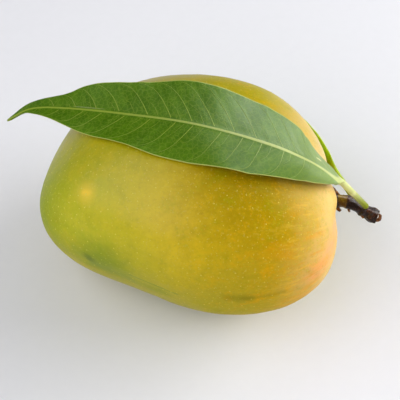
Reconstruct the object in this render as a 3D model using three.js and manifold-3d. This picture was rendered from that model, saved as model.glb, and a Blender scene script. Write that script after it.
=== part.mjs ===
import * as THREE from 'three';
import { mergeVertices } from 'three/addons/utils/BufferGeometryUtils.js';
import Module from 'manifold-3d';

// A ripe mango lying on its side, with its cut stem and two leaves still on it.
// Millimetres, +Z up. The origin is the middle of the flat spot that the fruit rests on.
// The stem end points along +X, the tip along -X and the belly along -Y.

// Clear space between pieces that touch
const GAP = 0.3;

// Fruit: a rounded body that narrows to the tip. A roundness of 2 is an ellipsoid, more is boxier.
const FRUIT_CENTRE = new THREE.Vector3(-2, 1.7, 38.2);
const FRUIT_HALF = { length: 62.5, width: 47.5, height: 40.5 };
const FRUIT_ROUNDNESS = 2.25;
const FRUIT_TAPER = 0.13;
const FRUIT_TURN_DEG = { roll: 6.5, pitch: -5, yaw: -4 };
const FRUIT_RINGS = 38;
const FRUIT_SIDES = 46;

// Swells and hollows of the skin: direction from the middle and spread in degrees, and height
const SWELLS = [
  { place: 'shoulder of the belly', azimuth: -30, elevation: -6, spread: 16, height: 4.5 },
  { place: 'blunt stem end', azimuth: 14, elevation: 5, spread: 40, height: -10 },
  { place: 'sinus beside the beak', azimuth: -128, elevation: -12, spread: 29, height: -10 },
  { place: 'blunt tip', azimuth: 166, elevation: 14, spread: 20, height: -7.7 },
  { place: 'cavity round the stem', azimuth: 4, elevation: -13, spread: 7.5, height: -3.5 },
  { place: 'lip above the cavity', azimuth: -4, elevation: 4, spread: 5.5, height: 0.9 },
  { place: 'crease beside the lip', azimuth: -9.5, elevation: -0.5, spread: 3, height: -0.5 },
];

// Stem: the path of its middle from inside the cavity to the cut end, and its thick rings
const STEM_PATH = [
  [45.6, 2.6, 31.6], [49, 2.2, 33], [53.1, 1.5, 34.8], [57.2, 1, 34.4],
  [61, 0.2, 33], [64.5, -0.8, 30.9], [66.8, -1.7, 30.1], [68.8, -2.5, 29.8],
];
const STEM_RADIUS = 2.3;
const STEM_RINGS = [
  { place: 'foot in the cavity', along: 1.5, spread: 2, height: 0.8 },
  { place: 'lower ring', along: 8.3, spread: 0.8, height: 0.4 },
  { place: 'upper ring', along: 12.6, spread: 0.9, height: 0.3 },
  { place: 'scar ridge', along: 19.2, spread: 0.8, height: 0.4 },
  { place: 'end knob', along: 23.6, spread: 1.8, height: 0.65 },
];
const BARK_WAVES = [
  { lobes: 3, twist: 0.35, depth: 0.05 },
  { lobes: 5, twist: -0.6, depth: 0.03 },
];
const STEM_STEPS = 44;
const STEM_SIDES = 14;
const CUT_HOLLOW = 0.7;
const CUT_RIM = 0.72;
const SOCKET_RINGS = 13;

// Small growths on the stem: the path of each, and its radius at the root and at the tip
const STUBS = [
  {
    place: 'dried side stalk',
    path: [[54.3, 2.4, 36], [52.6, 4, 37.7], [51.1, 5.2, 39.3]],
    root: 0.75,
    tip: 0.25,
  },
  {
    place: 'lower bud scale',
    path: [[53.2, 0.6, 32.9], [54.2, -0.5, 31.9], [55, -1, 31.5]],
    root: 0.8,
    tip: 0.5,
  },
  {
    place: 'middle bud scale',
    path: [[57.5, -0.2, 33.4], [57.9, -1.1, 32.5], [58.2, -1.5, 31.8]],
    root: 0.7,
    tip: 0.4,
  },
  {
    place: 'scar lip',
    path: [[62.3, -0.9, 31.6], [62.9, -2, 30.6], [63.5, -2.7, 29.7]],
    root: 1.1,
    tip: 0.5,
  },
  {
    place: 'torn bark at the cut',
    path: [[67.4, -2.6, 28.2], [69.2, -3.3, 29.3], [69.6, -3.2, 31], [69.1, -3, 32]],
    root: 0.8,
    tip: 0.45,
  },
];
const STUB_STEPS = 5;
const STUB_SIDES = 8;

// Leaves: a petiole and a blade along one midrib, from the petiole's end to the leaf's tip.
// Roll turns the blade about its midrib, in degrees at each point: more lifts the first side.
// The fold is a shallow V, the curl bends both sides down, and each side has waves of its own.
const LEAF_FRONT = {
  midrib: [
    [64, -2, 35.5], [57.1, -5.6, 48.5], [50.2, -8.7, 60.4], [40, -10.6, 71.8], [22.6, -7.5, 78.5],
    [0.2, -1, 80.1], [-22.7, 7.1, 76.4], [-46.3, 17, 69], [-59.5, 21.2, 64.2], [-68.3, 23, 57.3],
  ],
  roll: [-5, -5, -3, 10, -10.5, -9, -20, -11.5, -13.5, -11],
  petiole: 22.8,
  halfWidth: 15.8,
  foldDeg: 3.7,
  curl: 0.11,
  waveLength: 42,
  firstWave: { height: 2, phaseDeg: 84 },
  secondWave: { height: 1.8, phaseDeg: -96 },
};
const LEAF_BACK = {
  midrib: [
    [64.2, 3.4, 28.4], [60.7, 5.4, 31], [57.4, 7.9, 34.8], [54.5, 11.2, 37], [51.6, 18, 37.2],
    [47.1, 26.7, 36], [41.2, 35, 34.2], [31.7, 42.6, 32.4], [18, 48.6, 29.8], [0, 52, 26],
    [-20, 51.5, 22], [-40, 45, 17.5], [-56, 35, 12],
  ],
  roll: [30, 45, 60, 75, 85, 88, 90, 92, 94, 96, 98, 98, 95],
  petiole: 15.5,
  halfWidth: 14.5,
  foldDeg: 2,
  curl: 0.3,
  waveLength: 38,
  firstWave: { height: 1.2, phaseDeg: 40 },
  secondWave: { height: 1.5, phaseDeg: -120 },
};
const BLADE_THICKNESS = 0.9;
const BLADE_BASE_POWER = 0.83;
const BLADE_TIP_POWER = 1.22;
const BLADE_EASE = 4;
const EDGE_SQUARENESS = 0.8;
const RIB_RADIUS = { petioleEnd: 1.3, bladeBase: 0.95, tip: 0.45 };
const RIB_SPREAD = 1.3;
const RIB_ABOVE = 0.45;
const RIB_BELOW = 0.9;
const LEAF_STEPS = 46;
const LEAF_SIDES = 18;

const { clamp, degToRad, lerp, smoothstep } = THREE.MathUtils;
const wasm = await Module();
wasm.setup();

// A closed skin over rings of points, from a start point to an end point. The rings turn from
// the first axis to the second, whose cross product is the way along. The second half of each
// ring mirrors the first half's diagonals, so a thin blade is split alike on both faces.
function skin(start, rings, end) {
  const count = rings[0].length;
  const points = [start, ...rings.flat(), end];
  const first = 0;
  const last = points.length - 1;
  const at = (ring, k) => 1 + ring * count + (k % count);
  const triangles = [];
  for (let k = 0; k < count; k += 1) {
    triangles.push(first, at(0, k + 1), at(0, k));
    for (let ring = 0; ring < rings.length - 1; ring += 1) {
      const near = [at(ring, k), at(ring, k + 1)];
      const far = [at(ring + 1, k), at(ring + 1, k + 1)];
      if (k < count / 2) {
        triangles.push(near[0], near[1], far[1], near[0], far[1], far[0]);
      } else {
        triangles.push(near[0], near[1], far[0], near[1], far[1], far[0]);
      }
    }
    triangles.push(last, at(rings.length - 1, k), at(rings.length - 1, k + 1));
  }
  const geometry = new THREE.BufferGeometry().setFromPoints(points);
  geometry.setIndex(triangles);
  return geometry;
}

// Boolean solid from a closed geometry, and a geometry from a solid
function solidOf(geometry) {
  const bare = geometry.clone();
  bare.deleteAttribute('normal');
  bare.deleteAttribute('uv');
  const merged = mergeVertices(bare);
  return new wasm.Manifold(new wasm.Mesh({
    numProp: 3,
    vertProperties: Float32Array.from(merged.attributes.position.array),
    triVerts: Uint32Array.from(merged.index.array),
  }));
}

function geometryOf(solid) {
  const mesh = solid.getMesh();
  const geometry = new THREE.BufferGeometry();
  geometry.setAttribute('position', new THREE.BufferAttribute(mesh.vertProperties, 3));
  geometry.setIndex(new THREE.BufferAttribute(mesh.triVerts, 1));
  return geometry;
}

function curveThrough(points) {
  return new THREE.CatmullRomCurve3(points.map((p) => new THREE.Vector3(...p)), false, 'catmullrom');
}

function bell(distance, spread) {
  return Math.exp(-((distance / spread) ** 2));
}

// Unit direction at an azimuth round +Z from +X and an elevation above the level, in degrees
function directionAt(azimuth, elevation) {
  const level = Math.cos(degToRad(elevation));
  return new THREE.Vector3(
    level * Math.cos(degToRad(azimuth)),
    level * Math.sin(degToRad(azimuth)),
    Math.sin(degToRad(elevation)),
  );
}

// Point of the fruit's skin in a direction from its middle
function fruitPoint(way) {
  const boxy = Math.abs(way.x / FRUIT_HALF.length) ** FRUIT_ROUNDNESS
    + Math.abs(way.y / FRUIT_HALF.width) ** FRUIT_ROUNDNESS
    + Math.abs(way.z / FRUIT_HALF.height) ** FRUIT_ROUNDNESS;
  let reach = boxy ** (-1 / FRUIT_ROUNDNESS);
  for (const { azimuth, elevation, spread, height } of SWELLS) {
    const nearness = way.dot(directionAt(azimuth, elevation));
    reach += height * Math.exp((nearness - 1) / degToRad(spread) ** 2);
  }
  const point = way.clone().multiplyScalar(reach);
  const narrowing = 1 + FRUIT_TAPER * point.x / FRUIT_HALF.length;
  point.y *= narrowing;
  point.z *= narrowing;
  const { roll, pitch, yaw } = FRUIT_TURN_DEG;
  const turn = new THREE.Euler(degToRad(roll), degToRad(pitch), degToRad(yaw), 'ZYX');
  return point.applyEuler(turn).add(FRUIT_CENTRE);
}

// Round twig along a path: a radius for each distance along it and angle round it
function twig(path, steps, sides, radiusAt) {
  const frames = path.computeFrenetFrames(steps);
  const length = path.getLength();
  const rings = [];
  for (let i = 0; i <= steps; i += 1) {
    const centre = path.getPointAt(i / steps);
    const ring = [];
    for (let k = 0; k < sides; k += 1) {
      const angle = 2 * Math.PI * k / sides;
      const radius = radiusAt(length * i / steps, angle);
      ring.push(centre.clone()
        .addScaledVector(frames.normals[i], radius * Math.cos(angle))
        .addScaledVector(frames.binormals[i], radius * Math.sin(angle)));
    }
    rings.push(ring);
  }
  return rings;
}

function stemRadius(along, angle) {
  let radius = STEM_RADIUS;
  for (const ring of STEM_RINGS) {
    radius += ring.height * bell(along - ring.along, ring.spread);
  }
  for (const { lobes, twist, depth } of BARK_WAVES) {
    radius *= 1 + depth * Math.sin(lobes * angle + twist * along);
  }
  return radius;
}

// Stem: ringed twig with a hollow cut at its end, and the small growths joined to it
function stemSolid() {
  const path = curveThrough(STEM_PATH);
  const rings = twig(path, STEM_STEPS, STEM_SIDES, stemRadius);
  const cutMiddle = path.getPointAt(1);
  const inward = path.getTangentAt(1).multiplyScalar(-CUT_HOLLOW);
  rings.push(rings.at(-1).map((p) => cutMiddle.clone().lerp(p, CUT_RIM).addScaledVector(inward, 0.5)));
  let solid = solidOf(skin(path.getPointAt(0), rings, cutMiddle.clone().add(inward)));
  for (const stub of STUBS) {
    const stubPath = curveThrough(stub.path);
    const stubLength = stubPath.getLength();
    const stubRings = twig(stubPath, STUB_STEPS, STUB_SIDES,
      (along) => lerp(stub.root, stub.tip, along / stubLength));
    solid = solid.add(solidOf(skin(stubPath.getPointAt(0), stubRings, stubPath.getPointAt(1))));
  }
  return solid;
}

// Room for the stem's foot in the cavity, wider than the foot all round
function socketSolid() {
  const path = curveThrough(STEM_PATH);
  const roomy = (along, angle) => stemRadius(along, angle) + 2 * GAP;
  const rings = twig(path, STEM_STEPS, STEM_SIDES, roomy).slice(0, SOCKET_RINGS);
  const deeper = path.getTangentAt(0).multiplyScalar(-GAP);
  const floor = path.getPointAt(0).add(deeper);
  const mouth = path.getPointAt((SOCKET_RINGS - 1) / STEM_STEPS);
  return solidOf(skin(floor, [rings[0].map((p) => p.clone().add(deeper)), ...rings], mouth));
}

// Fruit: rings of skin from the tip to the stem end, with the rest spot and the socket cut away
function fruitGeometry() {
  const rings = [];
  for (let i = 1; i < FRUIT_RINGS; i += 1) {
    const polar = Math.PI * i / FRUIT_RINGS;
    const ring = [];
    for (let k = 0; k < FRUIT_SIDES; k += 1) {
      const round = 2 * Math.PI * k / FRUIT_SIDES;
      ring.push(fruitPoint(new THREE.Vector3(
        -Math.cos(polar),
        Math.sin(polar) * Math.cos(round),
        Math.sin(polar) * Math.sin(round),
      )));
    }
    rings.push(ring);
  }
  const tip = fruitPoint(new THREE.Vector3(-1, 0, 0));
  const stemEnd = fruitPoint(new THREE.Vector3(1, 0, 0));
  const ground = new THREE.BoxGeometry(FRUIT_HALF.length, FRUIT_HALF.width, FRUIT_HALF.height);
  ground.translate(0, 0, -FRUIT_HALF.height / 2);
  const body = solidOf(skin(tip, rings, stemEnd));
  return geometryOf(body.subtract(solidOf(ground)).subtract(socketSolid()));
}

// Radius of the petiole and midrib at a share of the leaf's length
function ribRadius(share, bladeStart) {
  if (share < bladeStart) {
    return lerp(RIB_RADIUS.petioleEnd, RIB_RADIUS.bladeBase, share / bladeStart);
  }
  return lerp(RIB_RADIUS.bladeBase, RIB_RADIUS.tip, (share - bladeStart) / (1 - bladeStart));
}

// Outline of the blade: its half width, from 0 to 1, at a share of the blade's length
function bladeOutline(share) {
  const widest = BLADE_BASE_POWER / (BLADE_BASE_POWER + BLADE_TIP_POWER);
  const outline = (b) => b ** BLADE_BASE_POWER * (1 - b) ** BLADE_TIP_POWER;
  return outline(share) / outline(widest);
}

// Leaf: sections square to the midrib, round at the petiole and thin across the blade, whose
// two sides fold, curl and wave
function leafGeometry(leaf) {
  const midrib = curveThrough(leaf.midrib);
  const length = midrib.getLength();
  const bladeStart = leaf.petiole / length;
  const outermost = Math.cos(Math.PI / LEAF_SIDES);
  const rings = [];
  for (let i = 0; i <= LEAF_STEPS; i += 1) {
    const share = i / LEAF_STEPS;
    const centre = midrib.getPointAt(share);
    const along = midrib.getTangentAt(share);
    const level = new THREE.Vector3(0, 0, 1).cross(along).normalize();
    const knot = midrib.getUtoTmapping(share) * (leaf.roll.length - 1);
    const before = Math.min(Math.floor(knot), leaf.roll.length - 2);
    const roll = degToRad(lerp(leaf.roll[before], leaf.roll[before + 1], knot - before));
    const across = level.applyAxisAngle(along, roll);
    const upward = along.clone().cross(across);

    const bladeShare = clamp((share - bladeStart) / (1 - bladeStart), 0, 1);
    const bladeWidth = leaf.halfWidth * bladeOutline(bladeShare);
    const rib = ribRadius(share, bladeStart);
    const halfWidth = Math.hypot(rib, bladeWidth);
    const flatness = smoothstep(bladeWidth, 0, BLADE_EASE);
    const turns = 2 * Math.PI * bladeShare * (length - leaf.petiole) / leaf.waveLength;
    const swing = Math.sqrt(Math.sin(Math.PI * bladeShare));

    const ring = [];
    for (let k = 0; k < LEAF_SIDES; k += 1) {
      const angle = 2 * Math.PI * (k + 0.5) / LEAF_SIDES;
      const reach = Math.sign(Math.cos(angle)) * Math.abs(Math.cos(angle) / outermost) ** (1 + flatness);
      const x = halfWidth * reach;
      const wave = x > 0 ? leaf.firstWave : leaf.secondWave;
      const drift = degToRad(leaf.foldDeg) * Math.abs(x) - leaf.curl * x ** 2 / (2 * leaf.halfWidth)
        + wave.height * swing * reach ** 2 * Math.sin(turns + degToRad(wave.phaseDeg));
      const ribRise = rib * (Math.sin(angle) > 0 ? RIB_ABOVE : RIB_BELOW) * bell(x, RIB_SPREAD * rib);
      const halfThickness = lerp(rib, BLADE_THICKNESS / 2 + ribRise, flatness);
      const fullness = Math.abs(Math.sin(angle)) ** (1 - EDGE_SQUARENESS * flatness);
      const rise = Math.sign(Math.sin(angle)) * fullness * halfThickness;
      ring.push(centre.clone()
        .addScaledVector(across, x)
        .addScaledVector(upward, flatness * drift + rise));
    }
    rings.push(ring);
  }
  const tip = midrib.getTangentAt(1).multiplyScalar(RIB_RADIUS.tip).add(midrib.getPointAt(1));
  return skin(midrib.getPointAt(0), rings, tip);
}

function piece(name, geometry, color, roughness) {
  geometry.computeVertexNormals();
  const mesh = new THREE.Mesh(geometry, new THREE.MeshStandardMaterial({ color, roughness, metalness: 0 }));
  mesh.name = name;
  return mesh;
}

const mango = new THREE.Group();
mango.add(piece('fruit', fruitGeometry(), '#d9b032', 0.4));
mango.add(piece('stem', geometryOf(stemSolid()), '#3a2618', 0.35));
mango.add(piece('leaf_front', leafGeometry(LEAF_FRONT), '#4f8a3c', 0.4));
mango.add(piece('leaf_back', leafGeometry(LEAF_BACK), '#86a82a', 0.4));

export default mango;
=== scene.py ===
# %% [markdown]
# # A ripe mango with its stem and two leaves
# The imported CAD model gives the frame: metres, +Z up, the origin in the middle of the small flat
# spot that the fruit rests on. This lesson replaces each CAD node with a finer piece of the same
# form, and adds what a CAD model leaves out: skin dots, veins, bark and colour.

import math

import bpy
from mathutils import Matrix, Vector


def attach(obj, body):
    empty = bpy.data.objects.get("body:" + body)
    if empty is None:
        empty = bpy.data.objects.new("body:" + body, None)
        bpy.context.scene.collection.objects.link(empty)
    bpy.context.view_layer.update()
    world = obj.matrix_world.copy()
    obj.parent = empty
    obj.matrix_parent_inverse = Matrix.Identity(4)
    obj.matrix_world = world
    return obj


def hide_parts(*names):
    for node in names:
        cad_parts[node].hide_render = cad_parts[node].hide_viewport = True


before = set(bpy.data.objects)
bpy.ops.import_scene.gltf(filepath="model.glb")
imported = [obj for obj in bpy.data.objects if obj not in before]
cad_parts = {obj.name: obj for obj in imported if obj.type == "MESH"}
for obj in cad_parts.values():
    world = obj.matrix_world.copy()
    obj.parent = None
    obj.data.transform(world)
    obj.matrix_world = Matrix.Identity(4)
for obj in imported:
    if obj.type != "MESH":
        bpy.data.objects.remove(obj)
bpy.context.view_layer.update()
scene = bpy.context.scene
print("CAD nodes:", sorted(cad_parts))

# %% [markdown]
# ## Camera
# The photograph looks down on the fruit's belly side at about 50 degrees, through a long lens. A
# constraint could aim the camera, but one turn about X is enough, and its place follows from that.

# %% Camera
MM = 0.001
VIEW_MIDDLE = Vector((2.278, -0.01, 36.765)) * MM
VIEW_DISTANCE = 558 * MM
VIEW_HEIGHT = math.radians(50)


def placed(name, data):
    """A new object in the scene."""
    thing = bpy.data.objects.new(name, data)
    scene.collection.objects.link(thing)
    return thing


camera = placed("Camera", bpy.data.cameras.new("Camera"))
camera.data.lens = 135
camera.data.sensor_width = 36
camera.data.clip_start = 0.01
camera.rotation_euler = (math.pi / 2 - VIEW_HEIGHT, 0, 0)
towards_camera = Vector((0, -math.cos(VIEW_HEIGHT), math.sin(VIEW_HEIGHT)))
camera.location = VIEW_MIDDLE + towards_camera * VIEW_DISTANCE
scene.camera = camera
scene.view_settings.view_transform = "Standard"
print("Camera at", tuple(round(v, 4) for v in camera.location))

# %% [markdown]
# ## Light
# The light is that of a small studio. A large soft box low beyond the stem end lays a sheen on the
# leaf and a broad shadow to the left, and a wide panel at the upper left fills that shadow. A third
# panel is there only to be reflected, so its diffuse light is off. Area lights give soft edges by
# their size alone, and a pale world lifts the rest.

# %% Soft boxes and world
def direction_at(azimuth, elevation):
    """Unit vector at an azimuth from +X towards +Y and an elevation, both in degrees."""
    azimuth = math.radians(azimuth)
    elevation = math.radians(elevation)
    level = math.cos(elevation)
    return (level * math.cos(azimuth), level * math.sin(azimuth), math.sin(elevation))


def soft_box(name, azimuth, elevation, distance, width, height, watts):
    light = bpy.data.lights.new(name, "AREA")
    light.shape = "RECTANGLE"
    light.size = width
    light.size_y = height
    light.energy = watts
    holder = placed(name, light)
    way = Vector(direction_at(azimuth, elevation))
    holder.location = VIEW_MIDDLE + way * distance
    holder.rotation_euler = way.to_track_quat("Z", "Y").to_euler()
    return holder


# name: azimuth and elevation in degrees, distance, width and height in metres, and watts
SOFT_BOXES = {
    "Large soft box": (13, 21, 0.9, 0.9, 0.45, 9.8),
    "Upper left panel": (212, 45, 1.2, 1.9, 1.3, 13.6),
    "Sheen panel": (54, 54, 0.9, 0.8, 0.85, 16.5),
}
boxes = {name: soft_box(name, *values) for name, values in SOFT_BOXES.items()}
boxes["Sheen panel"].visible_diffuse = False
world = bpy.data.worlds.new("Studio")
world.use_nodes = True
backdrop = world.node_tree.nodes["Background"]
backdrop.inputs["Color"].default_value = (0.97, 0.98, 1, 1)
backdrop.inputs["Strength"].default_value = 0.25
scene.world = world
print("Lights:", ", ".join(boxes))

# %% [markdown]
# ## Sums that become nodes
# Geometry Nodes can work out a sum for every point of a shape. Wiring Math nodes one by one hides the
# sum, so a small class stands for a socket: adding or multiplying two of them adds the node and its
# links. The materials use it too.

# %% Formula class
def operator(operation, turned=False):
    """A method that adds one node for self and other, or for other and self when turned round."""
    def method(self, other):
        return work(operation, other, self) if turned else work(operation, self, other)
    return method


class Formula:
    """A number, vector, colour or geometry inside a node tree."""

    def __init__(self, socket):
        self.socket = socket

    __add__ = operator("ADD")
    __radd__ = operator("ADD", turned=True)
    __sub__ = operator("SUBTRACT")
    __rsub__ = operator("SUBTRACT", turned=True)
    __mul__ = operator("MULTIPLY")
    __rmul__ = operator("MULTIPLY", turned=True)
    __truediv__ = operator("DIVIDE")
    __rtruediv__ = operator("DIVIDE", turned=True)
    __pow__ = operator("POWER")

    def __abs__(self):
        return work("ABSOLUTE", self)


def is_vector(value):
    if isinstance(value, Formula):
        return value.socket.type == "VECTOR"
    return not isinstance(value, (int, float))


def feed(socket, value):
    """Links a formula to a socket, or sets a plain value on it."""
    if isinstance(value, Formula):
        socket.id_data.links.new(value.socket, socket)
    elif socket.type == "VECTOR" and not is_vector(value):
        socket.default_value = (value, value, value)
    else:
        socket.default_value = value


def work(operation, *values):
    """One Math or Vector Math node."""
    tree = next(v.socket.id_data for v in values if isinstance(v, Formula))
    vectors = any(is_vector(v) for v in values)
    node = tree.nodes.new("ShaderNodeVectorMath" if vectors else "ShaderNodeMath")
    node.operation = operation
    for socket, value in zip(node.inputs, values):
        feed(socket, value)
    gives_number = operation in ("DOT_PRODUCT", "LENGTH", "DISTANCE")
    return Formula(node.outputs["Value"] if gives_number else node.outputs[0])


print("Formula class ready")

# %% [markdown]
# A few more helpers keep the sums readable: any other node, a smooth step, a blend, a value held
# within limits, a bell curve, and a vector taken apart or joined from its parts.

# %% Node helpers
def feed_named(node, **values):
    """Feeds inputs by name, with _ for a space."""
    for name, value in values.items():
        feed(node.inputs[name.replace("_", " ")], value)


def add_node(tree, kind, settings=None, **values):
    """Any other node, with its settings and its named inputs."""
    node = tree.nodes.new(kind)
    for name, value in (settings or {}).items():
        setattr(node, name, value)
    feed_named(node, **values)
    return node


def made(tree, kind, output, settings=None, **values):
    """One output of a new node."""
    return Formula(add_node(tree, kind, settings, **values).outputs[output])


def ease(value, low, high):
    """0 below low, 1 above high, and a smooth step between."""
    smooth = {"interpolation_type": "SMOOTHSTEP"}
    return made(value.socket.id_data, "ShaderNodeMapRange", "Result", smooth, Value=value, From_Min=low,
                From_Max=high)


def between(first, second, share):
    """The first value at share 0, the second at share 1."""
    return first + (second - first) * share


def held(value):
    """The value, kept between 0 and 1."""
    return work("MINIMUM", work("MAXIMUM", value, 0), 1)


def bell(distance, spread):
    """1 at no distance, falling smoothly to 0 over a few spreads."""
    scaled = distance / spread
    return work("EXPONENT", scaled * scaled * -1)


def parts_of(vector):
    node = add_node(vector.socket.id_data, "ShaderNodeSeparateXYZ", Vector=vector)
    return [Formula(socket) for socket in node.outputs]


def joined(tree, x, y, z):
    return made(tree, "ShaderNodeCombineXYZ", "Vector", X=x, Y=y, Z=z)


print("Node helpers ready")

# %% [markdown]
# ## From a tree to a plain mesh
# Each tree names its sizes as inputs, so that they can be changed on the modifier. The modifier is
# evaluated once and its result kept as a plain mesh.
# Sums are in millimetres, and the last step of each tree turns them into metres.

# %% Tree and mesh helpers
SOCKETS = {int: "Int", float: "Float", bpy.types.Object: "Object"}


def new_tree(name, sizes):
    """A geometry tree with one named input for each size."""
    tree = bpy.data.node_groups.new(name, "GeometryNodeTree")
    tree.interface.new_socket("Geometry", in_out="OUTPUT", socket_type="NodeSocketGeometry")
    for label, value in sizes.items():
        kind = next(word for python_type, word in SOCKETS.items() if isinstance(value, python_type))
        tree.interface.new_socket(label, in_out="INPUT", socket_type="NodeSocket" + kind)
    group = tree.nodes.new("NodeGroupInput")
    return tree, {label: Formula(group.outputs[label]) for label in sizes}


def end_tree(tree, shape, material, flat=0):
    """In metres, realized, smooth apart from flat faces, and with its material."""
    metres = made(tree, "GeometryNodeTransform", "Geometry", Geometry=shape, Scale=(MM, MM, MM))
    plain = made(tree, "GeometryNodeRealizeInstances", "Geometry", Geometry=metres)
    smooth = made(tree, "GeometryNodeSetShadeSmooth", "Geometry", Geometry=plain, Shade_Smooth=1 - flat)
    ready = made(tree, "GeometryNodeSetMaterial", "Geometry", Geometry=smooth, Material=material)
    feed(tree.nodes.new("NodeGroupOutput").inputs["Geometry"], ready)


def grow(name, tree, sizes):
    """A plain mesh object from a tree and its sizes."""
    piece = placed(name, bpy.data.meshes.new(name))
    modifier = piece.modifiers.new("Shape", "NODES")
    modifier.node_group = tree
    for item in tree.interface.items_tree:
        if item.in_out == "INPUT":
            modifier[item.identifier] = sizes[item.name]
    now = bpy.context.evaluated_depsgraph_get()
    mesh = bpy.data.meshes.new_from_object(piece.evaluated_get(now), depsgraph=now)
    piece.modifiers.clear()
    piece.data = mesh
    mesh.name = name
    triangles = sum(len(face.vertices) - 2 for face in mesh.polygons)
    print(f"{name}: {len(mesh.vertices)} points, {triangles} triangles")
    return piece


print("Tree and mesh helpers ready")

# %% [markdown]
# Some steps come back in several trees: reading each point's place, taking in another object's shape,
# moving points, and storing a vector on them, which a material reads later. Stem and leaves grow along
# smooth paths, so two more helpers draw a curve through given points and a tube round a curve.

# %% Helpers for points and paths
def own_place(tree):
    """Where each point is."""
    return made(tree, "GeometryNodeInputPosition", "Position")


def shape_of(tree, thing):
    """The mesh or curve of another object."""
    return made(tree, "GeometryNodeObjectInfo", "Geometry", Object=thing)


def moved(tree, shape, place):
    return made(tree, "GeometryNodeSetPosition", "Geometry", Geometry=shape, Position=place)


def remember(tree, shape, name, vector):
    """Stores a vector on every point, for a material to read."""
    kind = {"data_type": "FLOAT_VECTOR", "domain": "POINT"}
    return made(tree, "GeometryNodeStoreNamedAttribute", "Geometry", kind, Geometry=shape, Name=name,
                Value=vector)


def smooth_paths(name, paths):
    """A curve through points: each path is a list of (place, tilt in degrees, radius)."""
    curve = bpy.data.curves.new(name, "CURVE")
    curve.dimensions = "3D"
    curve.resolution_u = 32
    for path in paths:
        places = [Vector(place) for place, _, _ in path]
        spline = curve.splines.new("BEZIER")
        spline.bezier_points.add(len(path) - 1)
        padded = [places[0] * 2 - places[1], *places, places[-1] * 2 - places[-2]]
        for i, (knot, (_, tilt, radius)) in enumerate(zip(spline.bezier_points, path)):
            arm = (padded[i + 2] - padded[i]) / 6
            knot.co = places[i]
            knot.handle_left = places[i] - arm
            knot.handle_right = places[i] + arm
            knot.tilt = math.radians(tilt)
            knot.radius = radius
    return placed(name, curve)


def tube_along(tree, curve, sides):
    """A tube round a curve, as thick as the curve's radius at each point."""
    ring = made(tree, "GeometryNodeCurvePrimitiveCircle", "Curve", Resolution=sides, Radius=1)
    thickness = made(tree, "GeometryNodeInputRadius", "Radius")
    return made(tree, "GeometryNodeCurveToMesh", "Mesh", Curve=curve, Profile_Curve=ring,
                Scale=thickness, Fill_Caps=True)


print("Helpers for points and paths ready")

# %% [markdown]
# ## Colours
# Colours are written as they look on a screen, from 0 to 255, and shader sockets want them linear.
# A material starts as a Principled shader whose place on the object is at hand as a formula.

# %% Colour helpers
def colour(red, green, blue):
    """A screen colour as the linear colour that a socket wants."""
    def linear(value):
        value = value / 255
        return value / 12.92 if value <= 0.04045 else ((value + 0.055) / 1.055) ** 2.4
    return (linear(red), linear(green), linear(blue), 1)


def tint(share, first, second):
    """One colour turning into another. A Mix node's inputs 6, 7 and output 2 are its colours."""
    node = add_node(share.socket.id_data, "ShaderNodeMix", {"data_type": "RGBA"}, Factor=share)
    for socket, shade in ((node.inputs[6], first), (node.inputs[7], second)):
        feed(socket, shade if isinstance(shade, Formula) else colour(*shade))
    return Formula(node.outputs[2])


def new_material(name, roughness, ior):
    """A material, its tree, its shader, and the place on the object in millimetres."""
    material = bpy.data.materials.new(name)
    material.use_nodes = True
    tree = material.node_tree
    shader = tree.nodes["Principled BSDF"]
    feed_named(shader, Roughness=roughness, IOR=ior)
    place = made(tree, "ShaderNodeTexCoord", "Object") * (1 / MM)
    return material, tree, shader, place


def recalled(tree, name):
    """The three parts of a vector that a geometry tree stored on every point."""
    return parts_of(made(tree, "ShaderNodeAttribute", "Vector", {"attribute_name": name}))


def noise(tree, place, size, detail=2.0, roughness=0.5):
    """Soft random cloud whose blotches are about as wide as size, from 0 to 1."""
    return made(tree, "ShaderNodeTexNoise", 0, Vector=place, Scale=1 / size, Detail=detail,
                Roughness=roughness)


def bump(tree, height, distance, strength):
    """A surface that looks raised by up to a distance in millimetres."""
    return made(tree, "ShaderNodeBump", "Normal", Height=height, Distance=distance * MM,
                Strength=strength)


print("Colour helpers ready")

# %% [markdown]
# ## Floor
# The fruit lies on a plain pale sheet without an edge in sight. It is only a stage, so it is one
# wide square, with a faint grain in its gloss so that it doesn't look like paint.

# %% Floor
paper, paper_tree, paper_shader, paper_place = new_material("Pale sheet", 0.6, 1.3)
grain = noise(paper_tree, paper_place, 4)
paper_colour = tint(grain, (228, 228, 233), (231, 231, 236))
feed_named(paper_shader, Base_Color=paper_colour, Roughness=grain * 0.1 + 0.6)
floor_mesh = bpy.data.meshes.new("Floor")
FLOOR_HALF = 2
corners = [(x * FLOOR_HALF, y * FLOOR_HALF, 0) for x, y in ((-1, -1), (1, -1), (1, 1), (-1, 1))]
floor_mesh.from_pydata(corners, [], [(0, 1, 2, 3)])
floor_mesh.materials.append(paper)
floor = placed("Floor", floor_mesh)
print("Floor", [round(v, 2) for v in floor.dimensions])

# %% [markdown]
# ## Skin of the fruit
# Ripe mango skin is waxy and slightly satin. This one is yellow-green at its tip, golden in the
# middle and orange-yellow at the stem end, where the sun left a peach blush. An image would be the
# quick way, but clouds of noise that blend a few colours by place follow the form from every side.

# %% Ground colours of the skin
skin, skin_tree, skin_shader, skin_place = new_material("Mango skin", 0.36, 1.42)
mottle = noise(skin_tree, skin_place, 5, 4, 0.6) - 0.5
patches = noise(skin_tree, skin_place + 40, 9, 4, 0.6) - 0.5
fine = noise(skin_tree, skin_place, 1.2, 3, 0.6) - 0.5


def spot(place, radius, softness=0.5, unevenness=0.8):
    """A round mark on the skin, 1 in its middle and 0 outside, with an uneven edge."""
    away = work("DISTANCE", skin_place, place) + mottle * radius * unevenness
    return 1 - ease(away, radius * (1 - softness), radius * (1 + softness))


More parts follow.
